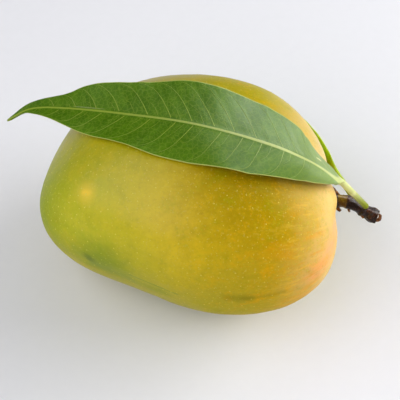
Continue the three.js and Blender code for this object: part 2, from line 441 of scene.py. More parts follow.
def streak(start, end, radius, softness=0.65):
    """A line over the skin: a spot round the nearest point between start and end."""
    line = Vector(end) - Vector(start)
    share = held(work("DOT_PRODUCT", skin_place - start, tuple(line / line.length_squared)))
    nearest = joined(skin_tree, share, share, share) * tuple(line) + start
    return spot(nearest, radius, softness, unevenness=1.5)


ZONE_SOFTNESS = 0.9
# name: middle, radius in millimetres, strength and colour
ZONES = {
    "green tip": ((-60, -6, 46), 22, 0.85, (128, 153, 6)),
    "yellow-green flank": ((3, -34, 57), 24, 0.78, (230, 213, 28)),
    # olive back: its olive also darkens the back as painted shade
    "olive back and painted shade": ((0, 46, 56), 52, 0.85, (158, 144, 2)),
    "golden belly": ((26, -40, 52), 36, 0.85, (212, 162, 0)),
    "pale band across the middle": ((8, -35.5, 63), 18, 0.45, (238, 208, 50)),
    # golden top: partly painted shadow of the front leaf on the skin below it
    "golden top and painted leaf shadow": ((22, -22, 72), 26, 0.9, (158, 130, 0)),
    # stem end: pale, and partly a painted highlight
    "pale stem end and painted highlight": ((54, -6, 54), 21, 0.85, (238, 196, 110)),
    # back of the stem end: its cream is partly a painted rim reflection
    "cream back of the stem end and painted rim light": ((42, 16, 58), 14, 0.6, (212, 184, 120)),
    # lower shoulder: its pale bluish tint is partly a painted reflection of the floor
    "light shoulder and painted reflection": ((46, -34, 38), 14, 0.65, (236, 188, 122)),
    "green flank": ((-23, -34.5, 45), 12, 0.3, (150, 166, 4)),
    "light rim of the tip": ((-40, -23, 52), 12, 0.4, (200, 194, 34)),
    "green-yellow underside": ((-8, -36, 20), 26, 0.6, (160, 156, 4)),
    "olive belly": ((12, -44, 32), 17, 0.5, (170, 162, 56)),
}
ground = tint(ease(mottle, -0.2, 0.2), (176, 174, 4), (192, 176, 8))
for middle, radius, strength, zone_colour in ZONES.values():
    ground = tint(spot(middle, radius, ZONE_SOFTNESS) * strength, ground, zone_colour)
print("Skin zones:", ", ".join(ZONES))

# %% [markdown]
# Close up, the ground is never even: orange and green blotches a few millimetres wide, grains finer
# than a millimetre, and, round the stem end, fibres that fan out from the stem like meridians. For
# those the noise is stretched: it varies fast round the stem's axis and slowly along the fruit.

# %% Blotches and fibres of the skin
STEM_ROOT = (50, 2, 33)
stem_x, stem_y, stem_z = parts_of(skin_place - STEM_ROOT)
golden = ease(stem_x, -64, -28)
orange_blotches = mottle + patches * 0.6 + fine * 0.6
green_blotches = mottle * -0.5 - patches + fine * 0.5
from_axis = work("SQRT", stem_y * stem_y + stem_z * stem_z) + 0.5
fan = joined(skin_tree, stem_x * 0.006, stem_y / from_axis, stem_z / from_axis) + mottle * 0.02
broad_fibres = noise(skin_tree, fan, 0.14, 2) - 0.5
thin_fibres = noise(skin_tree, fan, 0.04, 3, 0.6) - 0.5
stemward = ease(stem_x, -40, -4) * (1 - ease(stem_y, -34, -18) * 0.85)
specks = [noise(skin_tree, skin_place + shift, 0.8) - 0.5 for shift in (7, 19, 31)]
# name: pattern, where in it the colour starts and where it is full, strength and colour
PATTERNS = {
    "orange blotches": (orange_blotches, 0.02, 0.34, golden * 0.45, (222, 156, 0)),
    "green blotches": (green_blotches, 0.02, 0.3, 0.45, (152, 148, 2)),
    "orange fibres": (broad_fibres, 0.02, 0.2, stemward * 0.45, (238, 158, 16)),
    "olive fibres": (broad_fibres * -1, 0.04, 0.2, stemward * 0.3, (178, 158, 24)),
    "yellow threads": (thin_fibres, 0.03, 0.2, stemward * 0.35, (248, 200, 66)),
    "orange threads": (thin_fibres * -1, 0.06, 0.2, stemward * 0.4, (228, 146, 10)),
    "yellow grains": (fine, 0.02, 0.2, 0.14, (226, 206, 44)),
    "brown grains": (fine * -1, 0.02, 0.2, 0.18, (160, 136, 0)),
    "pale specks": (specks[0], 0.08, 0.22, 0.25, (204, 190, 100)),
    "olive specks": (specks[1], 0.08, 0.22, 0.17 - stemward * 0.11, (138, 134, 0)),
    "orange specks": (specks[2], 0.08, 0.22, golden * 0.15 + 0.05, (226, 146, 0)),
}
for pattern, start, full, strength, pattern_colour in PATTERNS.values():
    ground = tint(ease(pattern, start, full) * strength, ground, pattern_colour)
print("Skin patterns:", ", ".join(PATTERNS))

# %% [markdown]
# The marks come next, such as the peach blush on the stem end and a green patch near the tip. Each
# is a spot or a streak at a place in millimetres, so it stays put on the fruit from every side.

# %% Marks on the skin
upper_blush = streak((51.3, -19, 44), (48, -28, 42.5), 4, 1)
lower_blush = streak((48, -28, 42.5), (43.2, -36.2, 40), 3.3, 1)
blush_fibres = ease(thin_fibres, -0.16, 0.1) * 0.55 + 0.25
fleck_glow = spot((-37.8, -17.2, 61.1), 3.3, 0.9)
fleck_core = streak((-38.8, -16.7, 60.6), (-36.8, -17.7, 61.7), 0.9, 0.9)
# name: how much it covers at each point, and its colour
MARKS = {
    "blush": (work("MAXIMUM", upper_blush, lower_blush * 0.75) * blush_fibres, (252, 160, 104)),
    "green patch": (spot((-33, -29, 38.5), 9.5, 0.9) * 0.65, (110, 140, 0)),
    "green trail": (streak((-34, -26.5, 31), (-12, -36, 29), 3, 1) * 0.38, (116, 138, 2)),
    "dark fleck": (spot((-37.8, -26.4, 35.6), 2.2, 0.8) * 0.6, (76, 104, 4)),
    "scratch": (streak((-23, -33, 34.5), (-6, -39.7, 31.8), 0.5) * 0.55, (108, 136, 30)),
    "olive patch": (streak((12.5, -44.4, 36), (19, -44.3, 35.4), 2, 1) * 0.4, (112, 116, 10)),
    "olive streak": (streak((18, -44.3, 35.6), (32, -42.6, 37), 1, 1) * 0.3, (128, 116, 14)),
    "bright fleck": (fleck_glow * 0.5 + fleck_core * 0.25, (244, 202, 44)),
}
for cover, mark_colour in MARKS.values():
    ground = tint(cover, ground, mark_colour)
feed_named(skin_shader, Base_Color=ground)
print("Skin marks:", ", ".join(MARKS))

# %% [markdown]
# A ripe mango has a dull film of wax, the bloom, which stays on where nothing touches it and is
# rubbed to a shine where the fruit was handled. One value for the whole skin would make it look like
# plastic, so the reflection is strong towards the tip and at the stem end, and weak low down.

# %% Gloss of the skin
skin_x, _, skin_z = parts_of(skin_place)
bloom = 1 - ease(skin_z + mottle * 6, 36, 60)
rubbed_tip = ((1 - ease(skin_x, -18, 10)) * 0.42 + 0.05) * ease(skin_x, -66, -36)
rubbed_stem_end = ease(skin_x, 41, 49) * 0.45
shine = (rubbed_tip + rubbed_stem_end) * (1 - bloom * 0.75)
feed_named(skin_shader, Specular_IOR_Level=shine, Roughness=mottle * 0.12 + fine * 0.1 + 0.36,
           Normal=bump(skin_tree, fine + mottle * 2, 0.15, 0.4))
print("Skin inputs fed by nodes:", [socket.name for socket in skin_shader.inputs if socket.is_linked])

# %% [markdown]
# ## Shape of the fruit
# A mango is a rounded box that narrows to its tip, with a full shoulder, a hollow (the sinus) beside
# its blunt beak and a shallow cavity round the stem. Sculpting would do, but the shape has a rule:
# a super-ellipsoid with smooth swells. A cube whose points are pushed out to that rule has no poles.

# %% Fruit tree
FRUIT_MIDDLE = (-2, 1.7, 38.2)
FRUIT_TURN = tuple(math.radians(angle) for angle in (6.5, -5, -4))
# name: azimuth, elevation and spread in degrees, and height in millimetres
SWELLS = {
    "shoulder of the belly": (-30, -6, 16, 4.5),
    "blunt stem end": (14, 5, 40, -10),
    "sinus beside the beak": (-128, -12, 29, -10),
    "blunt tip": (166, 14, 20, -7.7),
    "cavity round the stem": (4, -13, 7.5, -3.5),
    "lip above the cavity": (-3.5, 4.4, 4.3, 1.1),
    "corner above the lip": (2.5, 7.5, 3.5, -1.4),
    "crease beside the lip": (-9.1, 0.1, 2.6, -0.95),
    "upper end of the crease": (-14, 4, 2.4, -0.4),
    "slack below the shoulder": (-36, -14, 7, -0.55),
}
fruit_sizes = {
    "Half length": 62.5, "Half width": 47.5, "Half height": 40.5, "Roundness": 2.25, "Taper": 0.13,
    "Unevenness": 0.35, "Points a side": 120,
}
fruit_tree, size = new_tree("Mango fruit", fruit_sizes)
points = size["Points a side"]
ball = made(fruit_tree, "GeometryNodeMeshCube", "Mesh", Size=(2, 2, 2), Vertices_X=points,
            Vertices_Y=points, Vertices_Z=points)
way = work("NORMALIZE", work("TANGENT", own_place(fruit_tree) * (math.pi / 4)))
halves = joined(fruit_tree, size["Half length"], size["Half width"], size["Half height"])
shares = [part ** size["Roundness"] for part in parts_of(abs(way / halves))]
reach = (shares[0] + shares[1] + shares[2]) ** (-1 / size["Roundness"])
for azimuth, elevation, spread, height in SWELLS.values():
    nearness = work("DOT_PRODUCT", way, direction_at(azimuth, elevation))
    reach = reach + work("EXPONENT", (nearness - 1) / math.radians(spread) ** 2) * height
reach = reach + (noise(fruit_tree, way, 0.3125) - 0.5) * size["Unevenness"] * 2
print("Swells on the fruit:", ", ".join(SWELLS))

# %% [markdown]
# The body is then narrowed towards its tip, turned to lie as it does in the photograph, and pressed
# flat where it rests.

# %% Fruit
bare = way * reach
narrowing = parts_of(bare)[0] / size["Half length"] * size["Taper"] + 1
narrowed = bare * joined(fruit_tree, 1, narrowing, narrowing)
turned = made(fruit_tree, "ShaderNodeVectorRotate", "Vector", {"rotation_type": "EULER_XYZ"},
              Vector=narrowed, Rotation=FRUIT_TURN)
FAR_OFF = -1000
resting = work("MAXIMUM", turned + FRUIT_MIDDLE, (FAR_OFF, FAR_OFF, 0))
end_tree(fruit_tree, moved(fruit_tree, ball, resting), skin)

fruit = grow("mango_fruit", fruit_tree, fruit_sizes)
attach(fruit, "root")
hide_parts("fruit")

# %% [markdown]
# ## Skin dots
# Mango skin breathes through lenticels: pale dots half a millimetre wide, a few millimetres apart,
# slightly raised. They could be painted, but a raised dot catches the light, so Geometry Nodes
# scatter small flattened balls over the fruit, no two closer than a set distance.

# %% Skin dots
dot_wax, dot_tree, dot_shader, dot_place = new_material("Pale skin dots", 0.5, 1.4)
dot_across = parts_of(dot_place)[0] + noise(dot_tree, dot_place, 6) * 30
dot_ripe = ease(dot_across, -50, 50)
feed_named(dot_shader, Base_Color=tint(dot_ripe, (208, 206, 76), (208, 182, 40)))

dot_sizes = {"Fruit": fruit, "Least distance": 2.4, "Radius": 0.26, "Seed": 7}
CLEAR_OF_FLOOR = 2
SMALLEST_DOT = 0.45
LARGEST_DOT = 1.1
DOT_HEIGHT = 0.25
dots_tree, size = new_tree("Skin dots", dot_sizes)
in_mm = made(dots_tree, "GeometryNodeTransform", "Geometry", Geometry=shape_of(dots_tree, size["Fruit"]),
             Scale=(1 / MM, 1 / MM, 1 / MM))
off_floor = work("GREATER_THAN", parts_of(own_place(dots_tree))[2], CLEAR_OF_FLOOR)
scatter = add_node(dots_tree, "GeometryNodeDistributePointsOnFaces", {"distribute_method": "POISSON"},
                   Mesh=in_mm, Distance_Min=size["Least distance"], Density_Max=0.2, Seed=size["Seed"],
                   Density_Factor=off_floor)
dot = made(dots_tree, "GeometryNodeMeshUVSphere", "Mesh", Segments=8, Rings=4, Radius=size["Radius"])
vary = add_node(dots_tree, "FunctionNodeRandomValue", {"data_type": "FLOAT"}, Seed=size["Seed"])
feed(vary.inputs[2], SMALLEST_DOT)
feed(vary.inputs[3], LARGEST_DOT)
random_size = Formula(vary.outputs[1])
dots = made(dots_tree, "GeometryNodeInstanceOnPoints", "Instances", Instance=dot,
            Points=Formula(scatter.outputs["Points"]), Rotation=Formula(scatter.outputs["Rotation"]),
            Scale=joined(dots_tree, random_size, random_size, random_size * DOT_HEIGHT))
end_tree(dots_tree, dots, dot_wax)

skin_dots = grow("skin_dots", dots_tree, dot_sizes)
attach(skin_dots, "root")

# %% [markdown]
# ## Bark
# The stem is a woody twig, nearly black and shiny, with a green-yellow piece left near the fruit, a
# brown torn flap and a pale ring of fresh wood at its cut end. The tree that shapes it stores for
# each point how far along the twig it lies, and the material reads that to place its colours.

# %% Bark
bark, bark_tree, bark_shader, bark_place = new_material("Twig bark", 0.24, 1.32)
twig_along, twig_round, twig_growth = recalled(bark_tree, "stem_place")
flecks = noise(bark_tree, bark_place, 0.9, 4, 0.65) - 0.5
blotches = noise(bark_tree, bark_place, 2.6, 3) - 0.5
bark_grain = blotches + flecks * 0.5

wood = tint(ease(bark_grain, -0.05, 0.3), (38, 20, 8), (98, 50, 18))
uneven_along = twig_along + blotches * 1.6 + flecks * 0.6
young = ease(uneven_along, 8.8, 9.3) * (1 - ease(uneven_along, 11.7, 12.2))
young_wood = tint(ease(bark_grain, -0.2, 0.3), (84, 56, 2), (140, 112, 4))
wood = tint(young, wood, young_wood)
scale_brown = tint(ease(flecks, -0.2, 0.2), (74, 36, 14), (146, 92, 44))
wood = tint(twig_growth, wood, scale_brown)
cut = 1 - ease(twig_round, 0.86, 0.97)
pith = ease(twig_round + flecks * 0.2, 0.2, 0.6)
fresh_wood = tint(pith, (110, 78, 48), (226, 200, 168))
wood = tint(cut, wood, fresh_wood)
feed_named(bark_shader, Base_Color=wood, Roughness=flecks * 0.3 + 0.26,
           Normal=bump(bark_tree, flecks + blotches, 0.25, 0.7))
print("Young wood between 9 and 12 mm along the twig")

# %% [markdown]
# ## Stem
# The twig follows a bent path out of the cavity, with raised rings where scales fell off. A curve
# with a bevel would give an even tube. Here a tall cylinder is wrapped round the path instead, and
# its radius is a sum of rings, waves and rough bark. Bud scales and a dried side stalk are joined on.

# %% Stem paths
STEM_PATH = [
    (45.6, 2.6, 31.6), (49, 2.2, 33), (53.1, 1.5, 34.8), (57.2, 1, 34.4),
    (61, 0.2, 33), (64.5, -0.8, 30.9), (66.8, -1.7, 30.1), (68.8, -2.5, 29.8),
]
# name: distance along the stem, spread and height
STEM_RINGS = {
    "foot in the cavity": (1.5, 2, 0.8), "lower ring": (8.3, 0.8, 0.4), "upper ring": (12.6, 0.9, 0.3),
    "scar ridge": (19.2, 0.8, 0.4), "end knob": (23.6, 1.8, 0.65),
}
# lobes round the stem, twist in radians a millimetre, and depth as a share of the radius
BARK_WAVES = [(3, 0.35, 0.05), (5, -0.6, 0.03)]
# name: path, radius at its root and at its tip
GROWTHS = {
    "dried side stalk": ([(54.3, 2.4, 36), (52.6, 4, 37.7), (51.1, 5.2, 39.3)], 0.75, 0.25),
    "lower bud scale": ([(53.2, 0.6, 32.9), (54.2, -0.5, 31.9), (55, -1, 31.5)], 0.8, 0.5),
    "middle bud scale": ([(57.5, -0.2, 33.4), (57.9, -1.1, 32.5), (58.2, -1.5, 31.8)], 0.7, 0.4),
    "scar lip": ([(62.3, -0.9, 31.6), (62.9, -2, 30.6), (63.5, -2.7, 29.7)], 1.1, 0.5),
    "torn bark": ([(67.4, -2.6, 28.2), (69.2, -3.3, 29.3), (69.6, -3.2, 31), (69.1, -3, 32)], 0.8, 0.45),
}
stem_curve = smooth_paths("Stem path", [[(place, 0, 1) for place in STEM_PATH]])
growth_paths = []
for path, root, tip in GROWTHS.values():
    steps = len(path) - 1
    growth_paths.append([(p, 0, root + (tip - root) * i / steps) for i, p in enumerate(path)])
growth_curves = smooth_paths("Growth paths", growth_paths)
print("Growths on the stem:", ", ".join(GROWTHS))

# %% [markdown]
# A frame along the path gives every point its place: the way along, a level way across it, and the
# way up from both. The radius starts even, and rings, twisted waves and noise are added to it.

# %% Stem tree
def path_frame(tree, path, share):
    """Place, way along, level way across and tilt at a share of a path, and the path's length."""
    curve = shape_of(tree, path)
    tilt = made(tree, "GeometryNodeInputCurveTilt", "Tilt")
    sample = add_node(tree, "GeometryNodeSampleCurve", {"mode": "FACTOR"}, Curves=curve, Value=tilt,
                      Factor=share)
    along = work("NORMALIZE", Formula(sample.outputs["Tangent"]))
    level = work("NORMALIZE", work("CROSS_PRODUCT", (0, 0, 1), along))
    length = made(tree, "GeometryNodeCurveLength", "Length", Curve=curve)
    place, roll = [Formula(sample.outputs[name]) for name in ("Position", "Value")]
    return place, along, level, roll, length


stem_sizes = {
    "Path": stem_curve, "Growths": growth_curves, "Radius": 2.3, "Roughness": 0.5, "Hollow": 0.7,
    "Sides": 80, "Steps": 240,
}
stem_tree, size = new_tree("Mango stem", stem_sizes)
rod = made(stem_tree, "GeometryNodeMeshCylinder", "Mesh", Vertices=size["Sides"],
           Side_Segments=size["Steps"], Fill_Segments=10, Radius=1, Depth=1)
rod_x, rod_y, rod_z = parts_of(own_place(stem_tree))
share = rod_z + 0.5
middle, along, level, _, length = path_frame(stem_tree, size["Path"], share)
upward = work("CROSS_PRODUCT", along, level)
distance = share * length
radius = size["Radius"]
for ring_along, spread, height in STEM_RINGS.values():
    radius = radius + bell(distance - ring_along, spread) * height
angle = work("ARCTAN2", rod_y, rod_x)
for lobes, twist, depth in BARK_WAVES:
    radius = radius * (work("SINE", angle * lobes + distance * twist) * depth + 1)
round_rod = joined(stem_tree, rod_x * 2.3, rod_y * 2.3, distance * 0.6)
rough = noise(stem_tree, round_rod, 1, 4, 0.6) - 0.5
radius = radius + rough * size["Roughness"]
print("Rings on the stem:", ", ".join(STEM_RINGS))

# %% [markdown]
# At the cut end the cap's points sink towards the middle, because fresh wood dries hollow. The scales
# and the side stalk are short tubes along their own paths, crumpled by noise, so that they look dry
# and torn. Both kinds store their place on the twig for the bark's colours.

# %% Stem
CUT_HEIGHT = 0.4999
SCALE_STEP = 0.15
CRUMPLE = 0.7
from_middle = work("SQRT", rod_x * rod_x + rod_y * rod_y)
at_cut = work("GREATER_THAN", rod_z, CUT_HEIGHT)
sunk = (1 - ease(from_middle, 0.35, 0.95)) * at_cut * size["Hollow"]
twig_place = middle + (level * rod_x + upward * rod_y) * radius - along * (sunk + rough * 0.3 * at_cut)
twig = remember(stem_tree, rod, "stem_place", joined(stem_tree, distance, from_middle, 0))
twig = moved(stem_tree, twig, twig_place)

growths = made(stem_tree, "GeometryNodeResampleCurve", "Curve", {"mode": "LENGTH"},
               Curve=shape_of(stem_tree, size["Growths"]), Length=SCALE_STEP)
scales = tube_along(stem_tree, growths, sides=16)
crumple = made(stem_tree, "ShaderNodeTexNoise", 1, Vector=own_place(stem_tree), Scale=1.1, Detail=3.0)
scales = made(stem_tree, "GeometryNodeSetPosition", "Geometry", Geometry=scales,
              Offset=(crumple - (0.5, 0.5, 0.5)) * CRUMPLE)
scales = remember(stem_tree, scales, "stem_place", (0, 1, 1))
whole_stem = add_node(stem_tree, "GeometryNodeJoinGeometry")
feed(whole_stem.inputs["Geometry"], twig)
feed(whole_stem.inputs["Geometry"], scales)
end_tree(stem_tree, Formula(whole_stem.outputs["Geometry"]), bark)

stem = grow("mango_stem", stem_tree, stem_sizes)
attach(stem, "root")
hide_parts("stem")

# %% [markdown]
# ## Leaf material
# A mango leaf is leathery: deep green above with a waxy sheen, a pale yellow-green midrib that fades
# to the tip, a thin pale margin, and a fine net of small veins. The leaf's tree stores for each point
# its distance along the midrib, its distance from it and its share of the half width, so the material
# can draw along the leaf however the blade bends.

# %% Leaf material
# stretches along the leaf, and how much of its width the drawn midrib loses over each
RIB_LOSSES = [(26, 44, 0.95), (44, 80, 0.25), (80, 165, 0.1)]
MARK_COLOUR = (226, 224, 164)


def leaf_material(name, see_through, colours, marks):
    material, tree, shader, _ = new_material(name, 0.4, 1.33)
    along, across, edge = recalled(tree, "leaf_place")
    flat_place = joined(tree, along, across, 0)
    clouds = noise(tree, flat_place, 9, 3) - 0.5
    fine_clouds = noise(tree, flat_place, 1.4, 3, 0.6) - 0.5
    out = abs(across)
    streaks = noise(tree, joined(tree, along - out * 0.7, out * 0.15, 0), 2, 3, 0.6) - 0.5
    lightness = ease(clouds * 0.6 + streaks * 0.6 + fine_clouds * 0.4, -0.3, 0.35)
    green = tint(lightness, colours["deep green"], colours["light green"])
    # Painted light: the blade's base is tinted pale, as painted sheen on the front leaf and painted glow
    # on the back leaf.
    green = tint((1 - ease(along + clouds * 10, 34, 60)) * 0.6, green, colours["painted light at the base of the blade"])

    wobble = joined(tree, along + fine_clouds * 1.2, across + fine_clouds * 1.2, 0)
    net = made(tree, "ShaderNodeTexVoronoi", "Distance", {"feature": "DISTANCE_TO_EDGE"},
               Vector=wobble, Scale=0.62)
    net_line = 1 - ease(net, 0.02, 0.1)
    green = tint(net_line * 0.22, green, colours["rib at the tip"])

    rib_width = 1.7
    for start, end, loss in RIB_LOSSES:
        rib_width = rib_width - ease(along, start, end) * loss
    on_rib = 1 - ease(out, rib_width * 0.55, rib_width * 1.1)
    rib = tint(ease(along, 26, 124), colours["rib at the base"], colours["rib at the tip"])
    green = tint(on_rib, green, rib)
    petiole = 1 - ease(along + fine_clouds * 4, 19, 27)
    stalk = tint(ease(along + clouds * 6, 0, 20), colours["cut end"], colours["stalk"])
    green = tint(petiole, green, stalk)
    on_edge = ease(edge, 0.972, 0.99) * ease(along, 26, 32)
    green = tint(on_edge * 0.7, green, colours["margin"])
    for mark_along, mark_across, half_length, half_width, strength in marks.values():
        away = joined(tree, (along - mark_along) / half_length, (across - mark_across) / half_width, 0)
        mark = 1 - ease(work("LENGTH", away) + fine_clouds, 0.4, 1.2)
        green = tint(mark * strength, green, MARK_COLOUR)
    waxy = (0.5 - ease(across, -1, 1) * 0.26) * (1 - ease(along, 69, 90) * 0.5)
    feed_named(shader, Base_Color=green, Roughness=fine_clouds * 0.16 + 0.4,
               Specular_IOR_Level=waxy * (streaks * 1.2 + 1),
               Normal=bump(tree, net_line * -0.6 + fine_clouds, 0.06, 0.5))
    feed_named(shader, Subsurface_Weight=see_through, Subsurface_Radius=(0.8, 1, 0.1),
               Subsurface_Scale=0.002)
    return material


print("Stretches over which the midrib thins:", len(RIB_LOSSES))

# %% [markdown]
# The front leaf is old and dark green, and its base is painted a pale grey-green that stands in for
# the sheen there. The back leaf is lit through from behind: its subsurface lets light in, and its
# colours are also painted lighter, as painted glow. Only the front leaf has marks.

# %% Leaf colours
# name: colour on the front leaf and on the back leaf
LEAF_COLOURS = {
    "deep green": ((62, 100, 0), (100, 142, 6)),
    "light green": ((88, 126, 6), (128, 166, 14)),
    # painted light: pale colours for the blade's base
    "painted light at the base of the blade": ((150, 172, 104), (198, 216, 46)),
    "margin": ((196, 202, 110), (184, 202, 78)),
    "rib at the base": ((189, 198, 122), (176, 194, 60)),
    "rib at the tip": ((138, 158, 50), (176, 196, 76)),
    "stalk": ((215, 217, 144), (164, 184, 34)),
    "cut end": ((128, 138, 12), (150, 170, 20)),
}
# name: distance along the leaf, distance across it, half length, half width and strength
FRONT_MARKS = {
    "nick": (36.8, -4.6, 2, 0.5, 0.7),
    "scratch beside the rib": (128, -0.95, 8, 0.3, 0.18),
    "scar on the stalk": (12.2, 1, 1.3, 0.5, 0.6),
}
front_colours = {name: pair[0] for name, pair in LEAF_COLOURS.items()}
back_colours = {name: pair[1] for name, pair in LEAF_COLOURS.items()}
front_green = leaf_material("Front leaf green", 0.15, front_colours, FRONT_MARKS)
# Painted light: the back leaf's lighter colours stand in for light shining through it, on top of its
# subsurface.
back_green = leaf_material("Back leaf green", 0.7, back_colours, {})
print("Marks on the front leaf:", ", ".join(FRONT_MARKS))

# %% [markdown]
# Side veins are paler than the blade. Near the leaf's base they are almost as pale as the midrib, partly
# as painted sheen, and towards the margin they sink into the green, so three colours are blended by place.

# %% Vein materials
def vein_material(name, base, near_rib, near_edge):
    material, tree, shader, place = new_material(name, 0.45, 1.33)
    along, _, edge = recalled(tree, "leaf_place")
    fading = ease(edge + noise(tree, place, 1.5) * 0.2, 0.1, 0.9) * (ease(along, 50, 90) * 0.5 + 0.5)
    # The pale colour near the leaf's base is partly painted sheen.
    at_rib = tint(ease(along, 60, 95), base, near_rib)
    feed_named(shader, Base_Color=tint(fading, at_rib, near_edge), Specular_IOR_Level=0.2)
    return material


front_vein = vein_material("Front leaf veins", (150, 172, 98), (130, 151, 42), (120, 145, 46))
back_vein = vein_material("Back leaf veins", (176, 194, 74), (170, 190, 66), (150, 176, 50))
print("Vein materials:", front_vein.name, "and", back_vein.name)

# %% [markdown]
# ## Leaf shape
# The blade is a thin sheet square to its midrib, which folds to a shallow V, curls down towards its
# margins and waves along them, and the petiole is the same section drawn in to a round stalk. One
# function works out a section, so that the veins can lie on exactly the same surface as the blade.
# The outline is a power curve that rises from the base and falls to the tip.

# %% Leaf section
BLADE_BASE_POWER = 0.83
BLADE_TIP_POWER = 1.22
WIDEST = BLADE_BASE_POWER / (BLADE_BASE_POWER + BLADE_TIP_POWER)
FULL_OUTLINE = WIDEST ** BLADE_BASE_POWER * (1 - WIDEST) ** BLADE_TIP_POWER


def outline(blade_share):
    """Half width of the blade, from 0 to 1."""
    rising = blade_share ** BLADE_BASE_POWER
    return rising * (1 - blade_share) ** BLADE_TIP_POWER / FULL_OUTLINE


def leaf_section(tree, size, share):
    """The leaf's middle, axes, widths and waves at a share of its length."""
    middle, along, level, roll, length = path_frame(tree, size["Midrib"], share)
    across = level * work("COSINE", roll) + work("CROSS_PRODUCT", along, level) * work("SINE", roll)
    blade_start = size["Petiole"] / length
    blade_share = held((share - blade_start) / (1 - blade_start))
    blade_width = outline(blade_share) * size["Half width"]
    rib = 1.12 + held(share / blade_start) * 0.12 - ease(blade_share, 0, 0.2) * 0.35 - blade_share * 0.42
    rib = rib * work("SQRT", held((1 - share) * 90) * 0.9 + 0.1)
    distance = share * length
    rib_shift = (2.6 - ease(distance, 28, 56) * 1.85) * ease(distance, 20, 28) * size["Rib shift"]
    return {
        "middle": middle, "across": across, "upward": work("CROSS_PRODUCT", along, across),
        "rib": rib, "rib shift": rib_shift,
        "half width": work("SQRT", rib * rib + blade_width * blade_width),
        "flatness": ease(blade_width, 0, 7), "distance": distance,
        "blade length": length - size["Petiole"], "blade share": blade_share,
        "swing": work("SQRT", work("SINE", blade_share * math.pi)),
    }


print("Widest at", round(WIDEST, 3), "of the blade")

# %% [markdown]
# Side veins leave the midrib about every 6 to 10 mm and bend forward. Between two of them the blade
# bulges a little, like a quilt, so one rule of spacing serves the quilting here and the veins further
# down. A leaf also has a few swells, where its margin stands out, draws in or droops.

# %% Leaf surface
VEIN_ROWS = 18
VEIN_SPREAD = 1.3
FAR_LAG = 0.2
FAR_SLANT = 0.85


def slanted(away, share, first_side):
    """How far towards the tip a vein has come at a distance away from the midrib."""
    near_slant = between(0.12, 1.0, ease(share, 0.2, 0.75))
    slant = between(FAR_SLANT, near_slant, first_side)
    return away * slant * (away * 0.02 + 0.78)


def quilting(section, away, first_side):
    """How far the blade bulges between the side veins, from 0 on a vein to 1 between two."""
    come = slanted(away, section["blade share"], first_side)
    origin = section["blade share"] - come / section["blade length"]
    even = held(origin) ** (1 / VEIN_SPREAD)
    row = even * VEIN_ROWS - 0.5 - (1 - first_side) * FAR_LAG
    return abs(work("SINE", row * math.pi)) * ease(away, 0.5, 4)


def leaf_surface(size, section, swells, reach, sine):
    """A place at a reach from -1 to 1 across the leaf, above where sine is positive, and how far
    off the midrib it is."""
    first_side = work("GREATER_THAN", reach, 0)
    margin = section["half width"]
    droop = 0
    for side, distance, spread, swell, drop in swells:
        on_side = first_side if side == "first" else 1 - first_side
        local = bell(section["distance"] - distance, spread) * on_side
        margin = margin + local * swell
        droop = local * reach * reach * drop + droop
    off_rib = margin * reach
    away = abs(off_rib)
    height = between(size["Second wave"], size["First wave"], first_side)
    phase = between(size["Second phase"], size["First phase"], first_side)
    turns = section["blade share"] * section["blade length"] / size["Wave length"] * (2 * math.pi)
    wave = height * section["swing"] * reach * reach * work("SINE", turns + phase)
    fold = away * size["Fold"] - away * away * size["Curl"] / (size["Half width"] * 2)
    bulge = quilting(section, away, first_side) * size["Quilting"]
    above = work("GREATER_THAN", sine, 0)
    rib_rise = section["rib"] * between(0.9, 0.2, above) * bell(away, section["rib"] * 1.3)
    half_thickness = between(section["rib"], size["Thickness"] / 2 + rib_rise, section["flatness"])
    fullness = abs(sine) ** (1 - section["flatness"] * 0.8)
    rise = work("SIGN", sine) * fullness * half_thickness
    lift = section["flatness"] * (fold + wave + bulge - droop) + rise
    aside = off_rib + section["rib shift"] * (1 - reach * reach)
    return section["middle"] + section["across"] * aside + section["upward"] * lift, off_rib


print("Side veins on each half:", VEIN_ROWS)

# %% [markdown]
# Like the stem, the leaf starts as a cylinder. Its round section is pressed flat where the blade
# begins, and it stays round along the petiole. Only the cut end keeps flat shading.

# %% Leaf tree
def leaf_tree(name, sizes, swells, material):
    tree, size = new_tree(name, sizes)
    tube = add_node(tree, "GeometryNodeMeshCylinder", Vertices=size["Sides"],
                    Side_Segments=size["Steps"], Fill_Segments=3, Radius=1, Depth=1)
    cosine, sine, height = parts_of(own_place(tree))
    section = leaf_section(tree, size, height + 0.5)
    reach = work("SIGN", cosine) * abs(cosine) ** (section["flatness"] + 1)
    place, off_rib = leaf_surface(size, section, swells, reach, sine)
    blade_place = joined(tree, section["distance"], off_rib, abs(reach))
    blade = remember(tree, Formula(tube.outputs["Mesh"]), "leaf_place", blade_place)
    end_tree(tree, moved(tree, blade, place), material, flat=Formula(tube.outputs["Bottom"]))
    return tree


print("Leaf tree ready")

# %% [markdown]
# ## Veins
# Each side vein is a tapering thread on the blade. It leaves the midrib at about 60 degrees, bends
# towards the tip and runs out along the margin. One straight line, repeated and bent by the rule
# above, makes them all, with a shorter and thinner one between each two. They lie on both faces.

# %% Vein rows
VEIN_POINTS = 36
ROW_JITTER = 0.4


